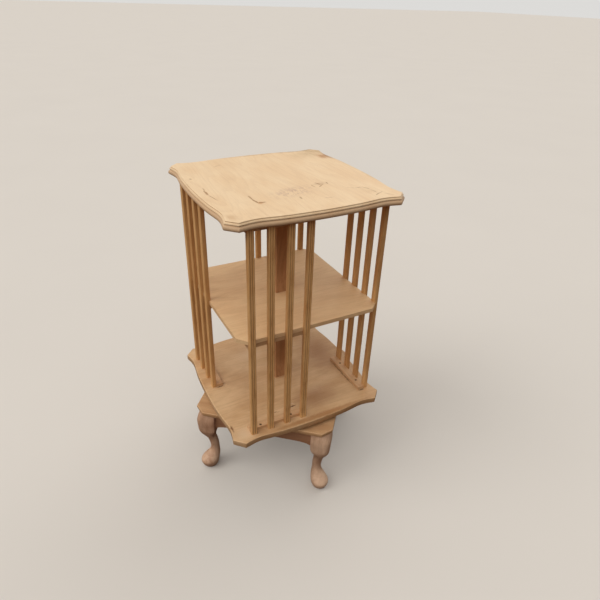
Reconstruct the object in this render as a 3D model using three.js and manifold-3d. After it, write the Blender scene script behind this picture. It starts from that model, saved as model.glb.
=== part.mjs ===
// Revolving bookcase: a three-board case with reeded slats turns on a ball-bearing
// turntable above a low stand with four cabriole legs. Millimetres, +Z up.
// The origin is on the floor under the turning axis, and X and Y run along the case's sides.
import * as THREE from 'three';
import { mergeVertices } from 'three/addons/utils/BufferGeometryUtils.js';
import Module from 'manifold-3d';

// ---- driving dimensions ----
const BOARD_WIDTH = 457;          // top and bottom boards, across their flats at the corners
const CORNER_CLIP = 26;           // straight cut at each board corner, measured along a side
const COVE_DEPTH = 7;             // hollow beside each corner of a serpentine side
const CROWN = 3;                  // how far the middle of a serpentine side bows out
const TOTAL_HEIGHT = 877;
const TOP_THICKNESS = 22;
const SHELF_WIDTH = 400;
const SHELF_CLIP = 23;            // straight cut at each shelf corner
const SHELF_TOP = 565;
const SHELF_THICKNESS = 11;
const BOTTOM_TOP = 266;
const BOTTOM_THICKNESS = 17;
const SLAT_WIDTH = 16;
const SLAT_THICKNESS = 12;
const SLAT_PITCH = 48.8;
const SLATS_PER_FACE = 4;
const SLAT_FACE_OUT = 208.5;      // axis to the slats' outer faces
const FIRST_SLAT_EDGE = 178;      // face centre line to the first slat's far edge
const NOTCH_CLEARANCE = 0.3;      // beside a slat where it is let into the middle shelf
const CLEAT_DEPTH = 20;
const CLEAT_HEIGHT = { bottom: 9, middle: 14, top: 14 };
const POST_WIDTH = 44;
const STAND_WIDTH = 400;
const STAND_TOP = 239;
const STAND_THICKNESS = 14;
const STAND_TURN = -40;           // degrees the stand is turned from the case at rest
const APRON_FACE_OUT = 184;       // axis to an apron's outer face
const APRON_THICKNESS = 16;
const APRON_END_DROP = 54;        // apron height at the legs
const APRON_RISE = 9;             // how far the lower edge rises from each leg
const APRON_CURVE = 46;           // length of the curve beside each leg
const APRON_CURVE_PULL = 14;      // from the leg to the curve's control point
const LEG_INNER = 141.5;          // axis plane to the inner faces of the leg blocks
const GAP = 0.3;                  // glue-line gap between pieces of the turned stand
const PLATE_WIDTH = 150;
const PLATE_THICKNESS = 1.6;
const PLATE_HOLE_RADIUS = 38;
const RACE_RADIUS = 55;           // axis to the balls' centres
const RACE_HALF_WIDTH = 5;        // half width of the raised ring round the groove
const RACE_SETBACK = 1;           // raised ring's rim, short of the balls' centres
const RACE_CLEARANCE = 0.3;       // between a ball and its groove
const BALL_RADIUS = 2.6;
const BALL_COUNT = 8;
const CAGE_HALF_WIDTH = 7;
const CAGE_THICKNESS = 1;
const CAGE_CLEARANCE = 0.4;       // round each ball in its cage
const ROUND_SEGMENTS = 48;

// ---- derived dimensions ----
const BOARD_HALF = BOARD_WIDTH / 2;
const SHELF_HALF = SHELF_WIDTH / 2;
const STAND_HALF = STAND_WIDTH / 2;
const TOP_UNDERSIDE = TOTAL_HEIGHT - TOP_THICKNESS;
const SHELF_UNDERSIDE = SHELF_TOP - SHELF_THICKNESS;
const BOTTOM_UNDERSIDE = BOTTOM_TOP - BOTTOM_THICKNESS;
const STAND_UNDERSIDE = STAND_TOP - STAND_THICKNESS;
const SLAT_INNER = SLAT_FACE_OUT - SLAT_THICKNESS;
const SLAT_GROUP_LENGTH = (SLATS_PER_FACE - 1) * SLAT_PITCH + SLAT_WIDTH;
const BALL_HEIGHT = (STAND_TOP + BOTTOM_UNDERSIDE) / 2;
const QUARTER = Math.PI / 2;
const FACES = ['front', 'right', 'back', 'left'];

const wasm = await Module();
wasm.setup();

// ---- materials ----
const BLEACHED = { roughness: 0.55, metalness: 0 };
const topWood = () => new THREE.MeshStandardMaterial({ color: 0xe3c69c, ...BLEACHED });
const boardWood = () => new THREE.MeshStandardMaterial({ color: 0xcfa67c, ...BLEACHED });
const slatWood = () => new THREE.MeshStandardMaterial({ color: 0xa87b50, ...BLEACHED });
const standWood = () => new THREE.MeshStandardMaterial({ color: 0xc9a17f, ...BLEACHED });
const zincSteel = () => new THREE.MeshStandardMaterial({ color: 0xa9abad, roughness: 0.35, metalness: 0.9 });
const ballSteel = () => new THREE.MeshStandardMaterial({ color: 0xc8cacc, roughness: 0.12, metalness: 1 });

// ---- geometry helpers ----
function signedVolume(geometry) {
  const p = geometry.attributes.position;
  const index = geometry.index;
  const [a, b, c] = [new THREE.Vector3(), new THREE.Vector3(), new THREE.Vector3()];
  let six = 0;
  for (let i = 0; i < index.count; i += 3) {
    a.fromBufferAttribute(p, index.getX(i));
    b.fromBufferAttribute(p, index.getX(i + 1));
    c.fromBufferAttribute(p, index.getX(i + 2));
    six += a.dot(b.cross(c));
  }
  return six / 6;
}

// Joins shared vertices, drops collapsed triangles and turns the faces outward.
function closed(geometry) {
  geometry.deleteAttribute('normal');
  geometry.deleteAttribute('uv');
  const merged = mergeVertices(geometry, 1e-4);
  const kept = [];
  for (let i = 0; i < merged.index.count; i += 3) {
    const [a, b, c] = [0, 1, 2].map((k) => merged.index.getX(i + k));
    if (a !== b && b !== c && c !== a) kept.push(a, b, c);
  }
  merged.setIndex(kept);
  if (signedVolume(merged) < 0) {
    for (let i = 0; i < kept.length; i += 3) [kept[i], kept[i + 1]] = [kept[i + 1], kept[i]];
    merged.setIndex(kept);
  }
  merged.computeVertexNormals();
  return merged;
}

function toSolid(geometry) {
  const ready = closed(geometry);
  return new wasm.Manifold(new wasm.Mesh({
    numProp: 3,
    vertProperties: new Float32Array(ready.attributes.position.array),
    triVerts: new Uint32Array(ready.index.array),
  }));
}

function fromSolid(solid) {
  const mesh = solid.getMesh();
  const geometry = new THREE.BufferGeometry();
  geometry.setAttribute('position', new THREE.BufferAttribute(new Float32Array(mesh.vertProperties), 3));
  geometry.setIndex([...mesh.triVerts]);
  return closed(geometry);
}

function named(name, geometry, material) {
  const mesh = new THREE.Mesh(closed(geometry), material);
  mesh.name = name;
  return mesh;
}

// A flat outline (Vector2 list) pushed up from z = low to z = high.
function prism(outline, low, high) {
  const geometry = new THREE.ExtrudeGeometry(new THREE.Shape(outline), {
    depth: high - low,
    bevelEnabled: false,
  });
  return geometry.translate(0, 0, low);
}

// A body made of stacked rings: a lathe whose rings are redrawn by pointAt(level, step),
// closed by a fan at each end. levels run from the bottom up.
function ringBody(levels, steps, pointAt) {
  const low = levels[0];
  const high = levels[levels.length - 1];
  const profile = [new THREE.Vector2(0, low.z)];
  levels.forEach((level) => profile.push(new THREE.Vector2(1, level.z)));
  profile.push(new THREE.Vector2(0, high.z));
  const geometry = new THREE.LatheGeometry(profile, steps);
  const position = geometry.attributes.position;
  for (let step = 0; step <= steps; step += 1) {
    for (let row = 0; row < profile.length; row += 1) {
      const atEnd = row === 0 || row === profile.length - 1;
      const level = levels[Math.min(Math.max(row - 1, 0), levels.length - 1)];
      const spot = atEnd ? middleOf(level, steps, pointAt) : pointAt(level, step % steps);
      position.setXYZ(step * profile.length + row, spot.x, spot.y, level.z);
    }
  }
  return geometry;
}

function middleOf(level, steps, pointAt) {
  const middle = new THREE.Vector2();
  for (let step = 0; step < steps; step += 1) middle.add(pointAt(level, step));
  return middle.divideScalar(steps);
}

function turned(point, quarters) {
  return point.clone().rotateAround(new THREE.Vector2(), quarters * QUARTER);
}

// ---- board outlines ----
// One serpentine side at y = -half: hollow beside each corner, bowed in the middle.
function serpentineSide(half, segments) {
  const reach = half - CORNER_CLIP;
  const waist = 0.78 * reach;
  const shoulder = 0.45 * reach;
  const curve = new THREE.SplineCurve([
    new THREE.Vector2(-reach, -half),
    new THREE.Vector2(-waist, -half + COVE_DEPTH),
    new THREE.Vector2(-shoulder, -half),
    new THREE.Vector2(0, -half - CROWN),
    new THREE.Vector2(shoulder, -half),
    new THREE.Vector2(waist, -half + COVE_DEPTH),
    new THREE.Vector2(reach, -half),
  ]);
  return curve.getPoints(segments);
}

function fourSides(side) {
  return [0, 1, 2, 3].flatMap((quarters) => side.map((point) => turned(point, quarters)));
}

function clippedSquare(half) {
  const reach = half - CORNER_CLIP;
  return fourSides([new THREE.Vector2(-reach, -half), new THREE.Vector2(reach, -half)]);
}

// Moves a convex-cornered outline inward by the given distance at one of its points.
function insetPoint(outline, step, inset) {
  const count = outline.length;
  const here = outline[step];
  const before = here.clone().sub(outline[(step + count - 1) % count]).normalize();
  const after = outline[(step + 1) % count].clone().sub(here).normalize();
  const inward = new THREE.Vector2(-before.y - after.y, before.x + after.x).normalize();
  const spread = inward.dot(new THREE.Vector2(-before.y, before.x));
  return here.clone().addScaledVector(inward, inset / spread);
}

function mouldedBoard(outline, levels) {
  return ringBody(levels, outline.length, (level, step) => insetPoint(outline, step, level.inset));
}

// ---- case boards ----
const SERPENTINE_SEGMENTS = 16;

// Edge from the underside up: bullnose, groove, ovolo, groove, top fillet. Depths are
// measured down from the top face.
const BULLNOSE = { height: 6.9, radius: 6.3, underInset: 7.6 };
const EDGE_ABOVE_BULLNOSE = [
  { depth: 7.7, inset: 4.6 },
  { depth: 7, inset: 4.6 },
  { depth: 6.5, inset: 3.2 },
  { depth: 4.9, inset: 3.5 },
  { depth: 3, inset: 5.4 },
  { depth: 2.7, inset: 6.8 },
  { depth: 2.1, inset: 6.8 },
  { depth: 1.8, inset: 6.2 },
  { depth: 0.6, inset: 6.2 },
  { depth: 0, inset: 7 },
];

function topBoard() {
  const levels = [{ z: TOP_UNDERSIDE, inset: BULLNOSE.underInset }];
  for (const degrees of [-80, -50, -20, 10, 40, 70]) {
    const angle = THREE.MathUtils.degToRad(degrees);
    levels.push({
      z: TOP_UNDERSIDE + BULLNOSE.height + BULLNOSE.radius * Math.sin(angle),
      inset: BULLNOSE.radius * (1 - Math.cos(angle)),
    });
  }
  EDGE_ABOVE_BULLNOSE.forEach(({ depth, inset }) => levels.push({ z: TOTAL_HEIGHT - depth, inset }));
  return mouldedBoard(fourSides(serpentineSide(BOARD_HALF, SERPENTINE_SEGMENTS)), levels);
}

function bottomBoard() {
  const ease = 1.2;
  const levels = [
    { z: BOTTOM_UNDERSIDE, inset: ease },
    { z: BOTTOM_UNDERSIDE + ease, inset: 0 },
    { z: BOTTOM_TOP - ease, inset: 0 },
    { z: BOTTOM_TOP, inset: ease },
  ];
  return mouldedBoard(fourSides(serpentineSide(BOARD_HALF, SERPENTINE_SEGMENTS)), levels);
}

// The shelf's edge is notched so that each slat passes it partly let in. The first slat
// stands at the clipped corner, so its notch opens into the cut.
function middleShelf() {
  const reach = SHELF_HALF - SHELF_CLIP;
  const side = [];
  for (let k = 0; k < SLATS_PER_FACE; k += 1) {
    const left = slatEdge(k) - NOTCH_CLEARANCE;
    const right = slatEdge(k) + SLAT_WIDTH + NOTCH_CLEARANCE;
    const cutMeetsNotch = -reach - (SHELF_HALF - SLAT_INNER);
    if (left > cutMeetsNotch) side.push(new THREE.Vector2(left, -SHELF_HALF));
    side.push(new THREE.Vector2(Math.max(left, cutMeetsNotch), -SLAT_INNER));
    side.push(new THREE.Vector2(right, -SLAT_INNER));
    side.push(new THREE.Vector2(right, -SHELF_HALF));
  }
  side.push(new THREE.Vector2(reach, -SHELF_HALF));
  return prism(fourSides(side), SHELF_UNDERSIDE, SHELF_TOP);
}

// ---- slats, cleats and posts ----
function slatEdge(k) {
  return -FIRST_SLAT_EDGE + k * SLAT_PITCH;
}

// Cross-section with three rounded reeds on the outer face (y is negative outward).
function slatOutline() {
  const reeds = 3;
  const reedHeight = 1;
  const segmentsPerReed = 4;
  const outline = [];
  for (let k = 0; k <= reeds * segmentsPerReed; k += 1) {
    const across = k / segmentsPerReed;
    const round = Math.sin(Math.PI * (across % 1));
    outline.push(new THREE.Vector2(across * SLAT_WIDTH / reeds, -SLAT_FACE_OUT + reedHeight * (1 - round)));
  }
  outline.push(new THREE.Vector2(SLAT_WIDTH, -SLAT_INNER));
  outline.push(new THREE.Vector2(0, -SLAT_INNER));
  return outline;
}

function addSlats(group, quarters) {
  for (let k = 0; k < SLATS_PER_FACE; k += 1) {
    const geometry = prism(slatOutline(), BOTTOM_TOP, TOP_UNDERSIDE).translate(slatEdge(k), 0, 0);
    const slat = named(`slat_${FACES[quarters]}_${k + 1}`, geometry, slatWood());
    slat.rotation.z = quarters * QUARTER;
    group.add(slat);
  }
}

function addCleats(group, quarters) {
  const undersides = {
    bottom: BOTTOM_TOP,
    middle: SHELF_UNDERSIDE - CLEAT_HEIGHT.middle,
    top: TOP_UNDERSIDE - CLEAT_HEIGHT.top,
  };
  for (const [place, underside] of Object.entries(undersides)) {
    const height = CLEAT_HEIGHT[place];
    const geometry = new THREE.BoxGeometry(SLAT_GROUP_LENGTH, CLEAT_DEPTH, height).translate(
      -FIRST_SLAT_EDGE + SLAT_GROUP_LENGTH / 2,
      -SLAT_INNER + CLEAT_DEPTH / 2,
      underside + height / 2,
    );
    const cleat = named(`cleat_${place}_${FACES[quarters]}`, geometry, boardWood());
    cleat.rotation.z = quarters * QUARTER;
    group.add(cleat);
  }
}

function postOutline() {
  const half = POST_WIDTH / 2;
  const ease = 1.5;
  return fourSides([new THREE.Vector2(-half + ease, -half), new THREE.Vector2(half - ease, -half)]);
}

// ---- turntable ----
// One pressed plate: a square sheet with a raised ring that carries the balls' groove.
// facing is +1 for the plate below the balls and -1 for the one above.
function bearingPlate(outerFace, facing) {
  const sheetMiddle = outerFace + facing * PLATE_THICKNESS / 2;
  const rim = BALL_HEIGHT - facing * RACE_SETBACK;
  const groove = BALL_RADIUS + RACE_CLEARANCE;
  const start = Math.asin(RACE_SETBACK / groove);
  const grooveSteps = 5;
  const section = [
    new THREE.Vector2(RACE_RADIUS - RACE_HALF_WIDTH, sheetMiddle),
    new THREE.Vector2(RACE_RADIUS - RACE_HALF_WIDTH, rim),
  ];
  for (let k = 0; k <= grooveSteps; k += 1) {
    const angle = THREE.MathUtils.lerp(start, Math.PI - start, k / grooveSteps);
    section.push(new THREE.Vector2(
      RACE_RADIUS - groove * Math.cos(angle),
      BALL_HEIGHT - facing * groove * Math.sin(angle),
    ));
  }
  section.push(new THREE.Vector2(RACE_RADIUS + RACE_HALF_WIDTH, rim));
  section.push(new THREE.Vector2(RACE_RADIUS + RACE_HALF_WIDTH, sheetMiddle));
  section.push(section[0].clone());
  const ring = new THREE.LatheGeometry(section, ROUND_SEGMENTS).rotateX(QUARTER);
  const sheet = new THREE.BoxGeometry(PLATE_WIDTH, PLATE_WIDTH, PLATE_THICKNESS);
  sheet.translate(0, 0, sheetMiddle);
  const cutterHeight = 6 * PLATE_THICKNESS;
  const hole = new THREE.CylinderGeometry(PLATE_HOLE_RADIUS, PLATE_HOLE_RADIUS, cutterHeight, ROUND_SEGMENTS);
  hole.rotateX(QUARTER).translate(0, 0, sheetMiddle);
  return fromSolid(toSolid(sheet).add(toSolid(ring)).subtract(toSolid(hole)));
}

function ballSpot(k) {
  const angle = (2 * Math.PI * k) / BALL_COUNT;
  return new THREE.Vector2(RACE_RADIUS, 0).rotateAround(new THREE.Vector2(), angle);
}

function roundHole(x, y, radius) {
  return new THREE.Path().absarc(x, y, radius, 0, 2 * Math.PI, true);
}

function ballCage() {
  const shape = new THREE.Shape().absarc(0, 0, RACE_RADIUS + CAGE_HALF_WIDTH, 0, 2 * Math.PI, false);
  shape.holes.push(roundHole(0, 0, RACE_RADIUS - CAGE_HALF_WIDTH));
  for (let k = 0; k < BALL_COUNT; k += 1) {
    const spot = ballSpot(k);
    shape.holes.push(roundHole(spot.x, spot.y, BALL_RADIUS + CAGE_CLEARANCE));
  }
  const geometry = new THREE.ExtrudeGeometry(shape, {
    depth: CAGE_THICKNESS,
    bevelEnabled: false,
    curveSegments: ROUND_SEGMENTS / 2,
  });
  return geometry.translate(0, 0, BALL_HEIGHT - CAGE_THICKNESS / 2);
}

// ---- stand ----
function standBoard() {
  const levels = [
    { z: STAND_UNDERSIDE, inset: 4 },
    { z: STAND_UNDERSIDE + 3.5, inset: 2.8 },
    { z: STAND_UNDERSIDE + 5, inset: 0.4 },
    { z: STAND_UNDERSIDE + 6, inset: 0 },
    { z: STAND_TOP - 1.5, inset: 0 },
    { z: STAND_TOP, inset: 1.5 },
  ];
  return mouldedBoard(clippedSquare(STAND_HALF), levels);
}

// Leg sections from the floor up. centre is each way from the axis, out is the half
// size along the leg's diagonal and across the half size at right angles to it. square
// runs from 0 for an oval section to 1 for a square one, whose half width is block. The
// square's outer corner is rounded: the lower its corner exponent, the rounder.
const KNEE_CORNER = 4;
const SQUARE_CORNER = 12;
const LEG_SECTIONS = [
  { z: 0, centre: 170, out: 15.8, across: 15, square: 0, block: 0, corner: KNEE_CORNER },
  { z: 4, centre: 170.8, out: 19.9, across: 18.2, square: 0, block: 0, corner: KNEE_CORNER },
  { z: 13, centre: 172, out: 24.9, across: 22.3, square: 0, block: 0, corner: KNEE_CORNER },
  { z: 28, centre: 172, out: 27.7, across: 25.4, square: 0, block: 0, corner: KNEE_CORNER },
  { z: 40, centre: 167, out: 24.1, across: 21.9, square: 0, block: 0, corner: KNEE_CORNER },
  { z: 50, centre: 161.9, out: 18.3, across: 17.6, square: 0, block: 0, corner: KNEE_CORNER },
  { z: 60, centre: 159.5, out: 14.3, across: 14.6, square: 0, block: 0, corner: KNEE_CORNER },
  { z: 72, centre: 158.9, out: 13, across: 13.4, square: 0, block: 0, corner: KNEE_CORNER },
  { z: 88, centre: 159.8, out: 13.2, across: 14, square: 0, block: 0, corner: KNEE_CORNER },
  { z: 108, centre: 162.9, out: 13.9, across: 14.7, square: 0, block: 0, corner: KNEE_CORNER },
  { z: 124, centre: 166.8, out: 15.2, across: 16.2, square: 0.08, block: 20, corner: KNEE_CORNER },
  { z: 137, centre: 169.3, out: 18, across: 18.5, square: 0.3, block: 24, corner: KNEE_CORNER },
  { z: 150, centre: 170, out: 23, across: 22, square: 0.62, block: 25.8, corner: KNEE_CORNER },
  { z: 162, centre: 169.5, out: 29, across: 27, square: 0.92, block: 27, corner: KNEE_CORNER },
  { z: 174, centre: 169.3, out: 31, across: 28, square: 1, block: 27.8, corner: KNEE_CORNER },
  { z: 187, centre: 169.8, out: 31, across: 28, square: 1, block: 28.3, corner: KNEE_CORNER },
  { z: 200, centre: 169.6, out: 31, across: 28, square: 1, block: 28.1, corner: KNEE_CORNER },
  { z: 213, centre: 168.2, out: 31, across: 28, square: 1, block: 26.7, corner: 3 },
  { z: STAND_UNDERSIDE - GAP, centre: 166.3, out: 31, across: 28, square: 1, block: 24.8, corner: 2.2 },
];
const LEG_STEPS = 24;

function legPoint(section, step) {
  const angle = (2 * Math.PI * step) / LEG_STEPS;
  const fromDiagonal = angle - Math.PI / 4;
  const oval = 1 / Math.hypot(Math.cos(fromDiagonal) / section.out, Math.sin(fromDiagonal) / section.across);
  const outward = Math.max(Math.cos(fromDiagonal), 0) ** 2;
  const exponent = THREE.MathUtils.lerp(SQUARE_CORNER, section.corner, outward);
  const sides = Math.abs(Math.cos(angle)) ** exponent + Math.abs(Math.sin(angle)) ** exponent;
  const block = section.block / sides ** (1 / exponent);
  const radius = THREE.MathUtils.lerp(oval, block, section.square);
  const middle = new THREE.Vector2(section.centre, section.centre);
  return new THREE.Vector2(radius, 0).rotateAround(new THREE.Vector2(), angle).add(middle);
}

// The leg is drawn at the stand's +X +Y corner, its diagonal pointing outward.
function leg() {
  return ringBody(LEG_SECTIONS, LEG_STEPS, legPoint);
}

// An apron is drawn standing up: x along it, y downward depth turned to height, then set in place.
function apron() {
  const reach = LEG_INNER - GAP;
  const low = STAND_UNDERSIDE - APRON_END_DROP;
  const high = STAND_UNDERSIDE - GAP;
  const shape = new THREE.Shape();
  shape.moveTo(reach, low);
  shape.lineTo(reach, high);
  shape.lineTo(-reach, high);
  shape.lineTo(-reach, low);
  shape.quadraticCurveTo(-reach + APRON_CURVE_PULL, low + APRON_RISE, -reach + APRON_CURVE, low + APRON_RISE);
  shape.lineTo(reach - APRON_CURVE, low + APRON_RISE);
  shape.quadraticCurveTo(reach - APRON_CURVE_PULL, low + APRON_RISE, reach, low);
  const geometry = new THREE.ExtrudeGeometry(shape, {
    depth: APRON_THICKNESS,
    bevelEnabled: false,
    curveSegments: 8,
  });
  return geometry.rotateX(QUARTER).translate(0, APRON_THICKNESS - APRON_FACE_OUT, 0);
}

// ---- assembly ----
function buildCase() {
  const group = new THREE.Group();
  group.add(named('top_board', topBoard(), topWood()));
  group.add(named('middle_shelf', middleShelf(), boardWood()));
  group.add(named('bottom_board', bottomBoard(), boardWood()));
  group.add(named('post_lower', prism(postOutline(), BOTTOM_TOP, SHELF_UNDERSIDE), slatWood()));
  group.add(named('post_upper', prism(postOutline(), SHELF_TOP, TOP_UNDERSIDE), slatWood()));
  for (let quarters = 0; quarters < FACES.length; quarters += 1) {
    addSlats(group, quarters);
    addCleats(group, quarters);
  }
  group.add(named('upper_bearing_plate', bearingPlate(BOTTOM_UNDERSIDE, -1), zincSteel()));
  return group;
}

function buildBallRing() {
  const group = new THREE.Group();
  group.add(named('ball_cage', ballCage(), zincSteel()));
  for (let k = 0; k < BALL_COUNT; k += 1) {
    const ball = named(`ball_${k + 1}`, new THREE.SphereGeometry(BALL_RADIUS, 12, 8), ballSteel());
    const spot = ballSpot(k);
    ball.position.set(spot.x, spot.y, BALL_HEIGHT);
    group.add(ball);
  }
  return group;
}

function buildStand() {
  const group = new THREE.Group();
  group.add(named('lower_bearing_plate', bearingPlate(STAND_TOP + GAP, 1), zincSteel()));
  group.add(named('stand_board', standBoard(), standWood()));
  for (let quarters = 0; quarters < FACES.length; quarters += 1) {
    const oneApron = named(`apron_${quarters + 1}`, apron(), standWood());
    oneApron.rotation.z = quarters * QUARTER;
    group.add(oneApron);
    const oneLeg = named(`leg_${quarters + 1}`, leg(), standWood());
    oneLeg.rotation.z = quarters * QUARTER;
    group.add(oneLeg);
  }
  group.rotation.z = THREE.MathUtils.degToRad(STAND_TURN);
  return group;
}

const bookcase = new THREE.Group();
bookcase.add(buildCase(), buildBallRing(), buildStand());

export default bookcase;
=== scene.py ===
import math
import random

import bmesh
import bpy
from mathutils import Matrix, Vector


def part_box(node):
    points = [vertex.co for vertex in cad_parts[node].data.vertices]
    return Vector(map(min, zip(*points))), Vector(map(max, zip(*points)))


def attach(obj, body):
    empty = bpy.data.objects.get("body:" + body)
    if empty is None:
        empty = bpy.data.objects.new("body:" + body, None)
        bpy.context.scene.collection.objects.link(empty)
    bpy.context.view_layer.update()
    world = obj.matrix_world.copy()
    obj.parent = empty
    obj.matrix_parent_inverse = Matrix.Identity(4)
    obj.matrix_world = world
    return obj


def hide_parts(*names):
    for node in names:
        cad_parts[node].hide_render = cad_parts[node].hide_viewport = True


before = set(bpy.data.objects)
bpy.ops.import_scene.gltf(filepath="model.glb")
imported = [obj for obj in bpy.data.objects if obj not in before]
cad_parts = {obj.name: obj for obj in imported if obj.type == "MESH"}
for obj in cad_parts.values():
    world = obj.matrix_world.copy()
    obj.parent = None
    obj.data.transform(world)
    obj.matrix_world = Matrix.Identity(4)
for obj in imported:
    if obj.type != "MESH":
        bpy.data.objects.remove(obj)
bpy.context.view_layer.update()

METRES = 0.001
QUARTER = math.pi / 2
FACES = ("front", "right", "back", "left")

# ---- sizes shared with the CAD, in millimetres ----
BOARD_HALF = 228.5
SHELF_HALF = 200
SHELF_CLIP = 23
STAND_HALF = 200
CORNER_CLIP = 26
COVE_DEPTH = 7
CROWN = 3
SLAT_WIDTH = 16
SLAT_OUTER = 208.5
SLAT_INNER = 196.5
SLAT_PITCH = 48.8
FIRST_SLAT_EDGE = 178
SLATS_PER_FACE = 4
NOTCH_CLEARANCE = 0.3
POST_HALF = 22
STAND_TURN = math.radians(-40)
LEG_INNER = 141.5
APRON_FACE = 184
APRON_THICKNESS = 16
APRON_END_DROP = 54
APRON_RISE = 9
APRON_CURVE = 46
APRON_CURVE_PULL = 14
GLUE_GAP = 0.3


def level(node, end):
    """Height of a CAD node's underside (end 0) or top (end 1), in millimetres."""
    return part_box(node)[end].z / METRES


TOP_UNDER, TOP_FACE = level("top_board", 0), level("top_board", 1)
SHELF_UNDER, SHELF_FACE = level("middle_shelf", 0), level("middle_shelf", 1)
BOTTOM_UNDER, BOTTOM_FACE = level("bottom_board", 0), level("bottom_board", 1)
STAND_UNDER, STAND_FACE = level("stand_board", 0), level("stand_board", 1)


# ---- node helpers ----
def srgb(text):
    """Linear RGBA of a hex colour."""
    parts = [int(text[i : i + 2], 16) / 255 for i in (0, 2, 4)]
    linear = [c / 12.92 if c <= 0.04045 else ((c + 0.055) / 1.055) ** 2.4 for c in parts]
    return (*linear, 1.0)


ANY_DEPTH = 1e3  # a spot's size in depth, so that it reaches through its board


class Tree:
    """Short calls for building the nodes of a material or of the world."""

    def __init__(self, owner):
        owner.use_nodes = True
        self.nodes = owner.node_tree.nodes
        self.links = owner.node_tree.links
        self.nodes.clear()

    def add(self, kind, inputs=None, **settings):
        made = self.nodes.new("ShaderNode" + kind)
        for key, value in settings.items():
            setattr(made, key, value)
        for key, value in (inputs or {}).items():
            if isinstance(value, bpy.types.NodeSocket):
                self.links.new(value, made.inputs[key])
            else:
                made.inputs[key].default_value = value
        return made

    def math(self, operation, a, b=0.0, clamp=False):
        return self.add("Math", {0: a, 1: b}, operation=operation, use_clamp=clamp).outputs[0]

    def times(self, a, b):
        return self.math("MULTIPLY", a, b)

    def ramp(self, value, low, high):
        """0 at low and 1 at high, with a smooth curve between."""
        made = self.add(
            "MapRange",
            {"Value": value, "From Min": low, "From Max": high},
            interpolation_type="SMOOTHSTEP",
        )
        return made.outputs["Result"]

    def mix(self, factor, a, b):
        return self.add("Mix", {0: factor, 6: a, 7: b}, data_type="RGBA").outputs[2]

    def shifted(self, vector, shift):
        return self.add("VectorMath", {0: vector, 1: shift}, operation="ADD").outputs[0]

    def stretch(self, vector, scale, location=(0, 0, 0)):
        made = self.add("Mapping", {"Vector": vector, "Location": location, "Scale": scale})
        return made.outputs["Vector"]

    def noise(self, vector, detail, roughness=0.55):
        inputs = {"Vector": vector, "Scale": 1.0, "Detail": detail, "Roughness": roughness}
        return self.add("TexNoise", inputs).outputs["Fac"]

    def wander(self, vector, scale, reach, location=(0, 0, 0)):
        """A noise that swings up to half of reach each way."""
        noise = self.noise(self.stretch(vector, (scale, scale, scale), location), detail=2)
        return self.times(self.math("SUBTRACT", noise, 0.5), reach)

    def spot(self, vector, centre, size, angle, edge):
        """0 at the rim of an ellipse on the board's face, rising to 1 at edge times its size."""
        local = self.add(
            "Mapping",
            {
                "Vector": vector,
                "Location": (*centre, 0),
                "Rotation": (0, 0, angle),
                "Scale": (*size, ANY_DEPTH),
            },
            vector_type="TEXTURE",
        )
        length = self.add("VectorMath", {0: local.outputs[0]}, operation="LENGTH")
        return self.ramp(length.outputs["Value"], 1.0, edge)

    def finish(self, colour, roughness, height, bump=0.3, distance=0.0005, **extra):
        normal = self.add("Bump", {"Strength": bump, "Distance": distance, "Height": height})
        inputs = {"Base Color": colour, "Roughness": roughness, "Normal": normal.outputs[0]}
        inputs.update(extra)
        shader = self.add("BsdfPrincipled", inputs)
        output = self.add("OutputMaterial")
        self.links.new(shader.outputs[0], output.inputs["Surface"])


# ---- wood ----
# Noise scales along the grain and across it, per metre.
WANDER_SCALE = (2.2, 9, 9)
RING_SCALE = (1.6, 13, 13)
STREAK_SCALE = (9, 260, 260)
FIBRE_SCALE = (34, 1150, 1150)
PORE_SCALE = (60, 1500, 1500)
BLOTCH_SCALE = (7, 15, 15)
CLOUD_SCALE = (2.5, 4, 4)
FLECK_SCALE = (210, 260, 260)
BREAKUP_SCALE = (30, 90, 90)
GRAIN_WANDER = 0.03  # how far the grain runs sideways, metres
GROWTH_LINES = 17.0  # growth lines in the full range of the ring noise
# The most that each layer tints the wood.
CLOUD_WASH = 0.45
LATE_TINT = 0.22
STREAK_TINT = 0.30
FIBRE_TINT = 0.22
PORE_TINT = 0.28
FLECK_TINT = 0.35
RUBBED_TINT = 0.80
DIRT_TINT = 0.82
# How far each layer stands up, as a share of the bump's distance.
STREAK_RISE = 0.5
FIBRE_RISE = 0.6
PORE_SINK = 0.5
LATE_SINK = 0.15
WOOD_ROUGHNESS = 0.40
BLOTCH_ROUGHNESS = 0.25
WAX_SHINE = 0.35


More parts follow.
